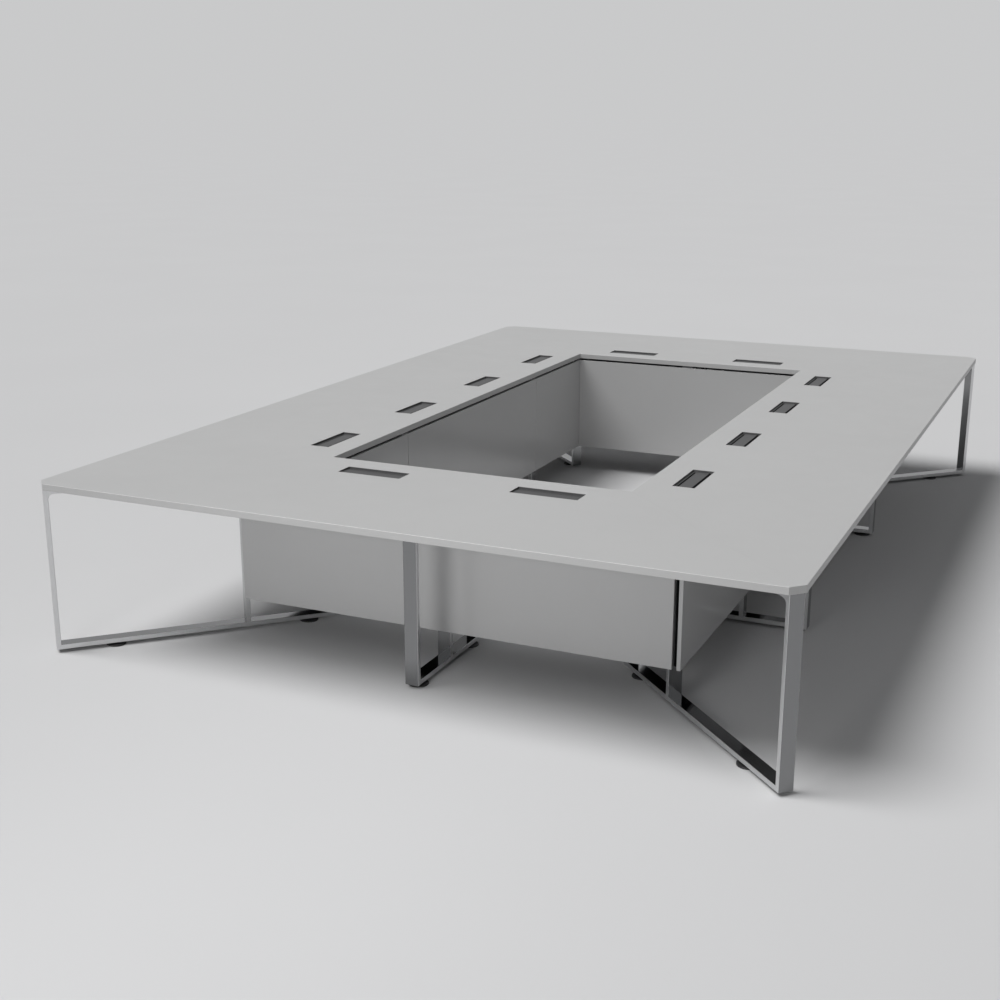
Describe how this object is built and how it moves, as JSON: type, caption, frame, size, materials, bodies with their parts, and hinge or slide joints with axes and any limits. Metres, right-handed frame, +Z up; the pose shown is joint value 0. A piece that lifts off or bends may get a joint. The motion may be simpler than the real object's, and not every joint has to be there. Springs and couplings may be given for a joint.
{
  "type": "conference table",
  "caption": "Large rectangular ring conference table with an open well, chrome frame legs, panel-sided cable channel and hinged cable flaps at each seating place",
  "frame": {"origin": "on the floor under the middle of the table", "axes": "+X along the short sides, +Y along the long sides, +Z up"},
  "size_m": [3.2, 4.8, 0.75],
  "materials": {
    "top_laminate": "pale grey laminate on board, satin",
    "panel_laminate": "pale grey laminate on board, semi-gloss",
    "chrome": "mirror chrome on flat bar",
    "satin_metal": "satin grey metal",
    "black_plastic": "black, matte"
  },
  "bodies": {
    "table": {"top_near": "top_laminate", "top_right": "top_laminate", "top_far": "top_laminate", "top_left": "top_laminate", "leg_near_left": "chrome", "leg_near_right": "chrome", "leg_far_right": "chrome", "leg_far_left": "chrome", "leg_near_mid": "chrome", "leg_far_mid": "chrome", "leg_right_1": "chrome", "leg_right_2": "chrome", "leg_left_1": "chrome", "leg_left_2": "chrome", "foot_near_left_outer": "black_plastic", "foot_near_left_inner": "black_plastic", "foot_near_right_outer": "black_plastic", "foot_near_right_inner": "black_plastic", "foot_far_right_outer": "black_plastic", "foot_far_right_inner": "black_plastic", "foot_far_left_outer": "black_plastic", "foot_far_left_inner": "black_plastic", "foot_near_mid_outer": "black_plastic", "foot_near_mid_inner": "black_plastic", "foot_far_mid_outer": "black_plastic", "foot_far_mid_inner": "black_plastic", "foot_right_1_outer": "black_plastic", "foot_right_1_inner": "black_plastic", "foot_right_2_outer": "black_plastic", "foot_right_2_inner": "black_plastic", "foot_left_1_outer": "black_plastic", "foot_left_1_inner": "black_plastic", "foot_left_2_outer": "black_plastic", "foot_left_2_inner": "black_plastic", "panel_outer_near": "panel_laminate", "panel_outer_right": "panel_laminate", "panel_outer_far": "panel_laminate", "panel_outer_left": "panel_laminate", "panel_inner_near": "panel_laminate", "panel_inner_far": "panel_laminate", "panel_inner_right_1": "panel_laminate", "panel_inner_right_2": "panel_laminate", "panel_inner_right_3": "panel_laminate", "panel_inner_left_1": "panel_laminate", "panel_inner_left_2": "panel_laminate", "panel_inner_left_3": "panel_laminate"},
    "flap_near_1": {"lid_near_1": "satin_metal"},
    "flap_near_2": {"lid_near_2": "satin_metal"},
    "flap_right_1": {"lid_right_1": "satin_metal"},
    "flap_right_2": {"lid_right_2": "satin_metal"},
    "flap_right_3": {"lid_right_3": "satin_metal"},
    "flap_right_4": {"lid_right_4": "satin_metal"},
    "flap_far_1": {"lid_far_1": "satin_metal"},
    "flap_far_2": {"lid_far_2": "satin_metal"},
    "flap_left_1": {"lid_left_1": "satin_metal"},
    "flap_left_2": {"lid_left_2": "satin_metal"},
    "flap_left_3": {"lid_left_3": "satin_metal"},
    "flap_left_4": {"lid_left_4": "satin_metal"}
  },
  "joints": [
    {"name": "hinge_near_1", "type": "hinge", "parent": "table", "child": "flap_near_1", "pos_m": [-0.4, -1.6435, 0.736], "axis": [-1, 0, 0], "range_deg": [0, 100]},
    {"name": "hinge_near_2", "type": "hinge", "parent": "table", "child": "flap_near_2", "pos_m": [0.4, -1.6435, 0.736], "axis": [-1, 0, 0], "range_deg": [0, 100]},
    {"name": "hinge_right_1", "type": "hinge", "parent": "table", "child": "flap_right_1", "pos_m": [0.8435, -1.2, 0.736], "axis": [0, -1, 0], "range_deg": [0, 100]},
    {"name": "hinge_right_2", "type": "hinge", "parent": "table", "child": "flap_right_2", "pos_m": [0.8435, -0.4, 0.736], "axis": [0, -1, 0], "range_deg": [0, 100]},
    {"name": "hinge_right_3", "type": "hinge", "parent": "table", "child": "flap_right_3", "pos_m": [0.8435, 0.4, 0.736], "axis": [0, -1, 0], "range_deg": [0, 100]},
    {"name": "hinge_right_4", "type": "hinge", "parent": "table", "child": "flap_right_4", "pos_m": [0.8435, 1.2, 0.736], "axis": [0, -1, 0], "range_deg": [0, 100]},
    {"name": "hinge_far_1", "type": "hinge", "parent": "table", "child": "flap_far_1", "pos_m": [0.4, 1.6435, 0.736], "axis": [1, 0, 0], "range_deg": [0, 100]},
    {"name": "hinge_far_2", "type": "hinge", "parent": "table", "child": "flap_far_2", "pos_m": [-0.4, 1.6435, 0.736], "axis": [1, 0, 0], "range_deg": [0, 100]},
    {"name": "hinge_left_1", "type": "hinge", "parent": "table", "child": "flap_left_1", "pos_m": [-0.8435, 1.2, 0.736], "axis": [0, 1, 0], "range_deg": [0, 100]},
    {"name": "hinge_left_2", "type": "hinge", "parent": "table", "child": "flap_left_2", "pos_m": [-0.8435, 0.4, 0.736], "axis": [0, 1, 0], "range_deg": [0, 100]},
    {"name": "hinge_left_3", "type": "hinge", "parent": "table", "child": "flap_left_3", "pos_m": [-0.8435, -0.4, 0.736], "axis": [0, 1, 0], "range_deg": [0, 100]},
    {"name": "hinge_left_4", "type": "hinge", "parent": "table", "child": "flap_left_4", "pos_m": [-0.8435, -1.2, 0.736], "axis": [0, 1, 0], "range_deg": [0, 100]}
  ]
}
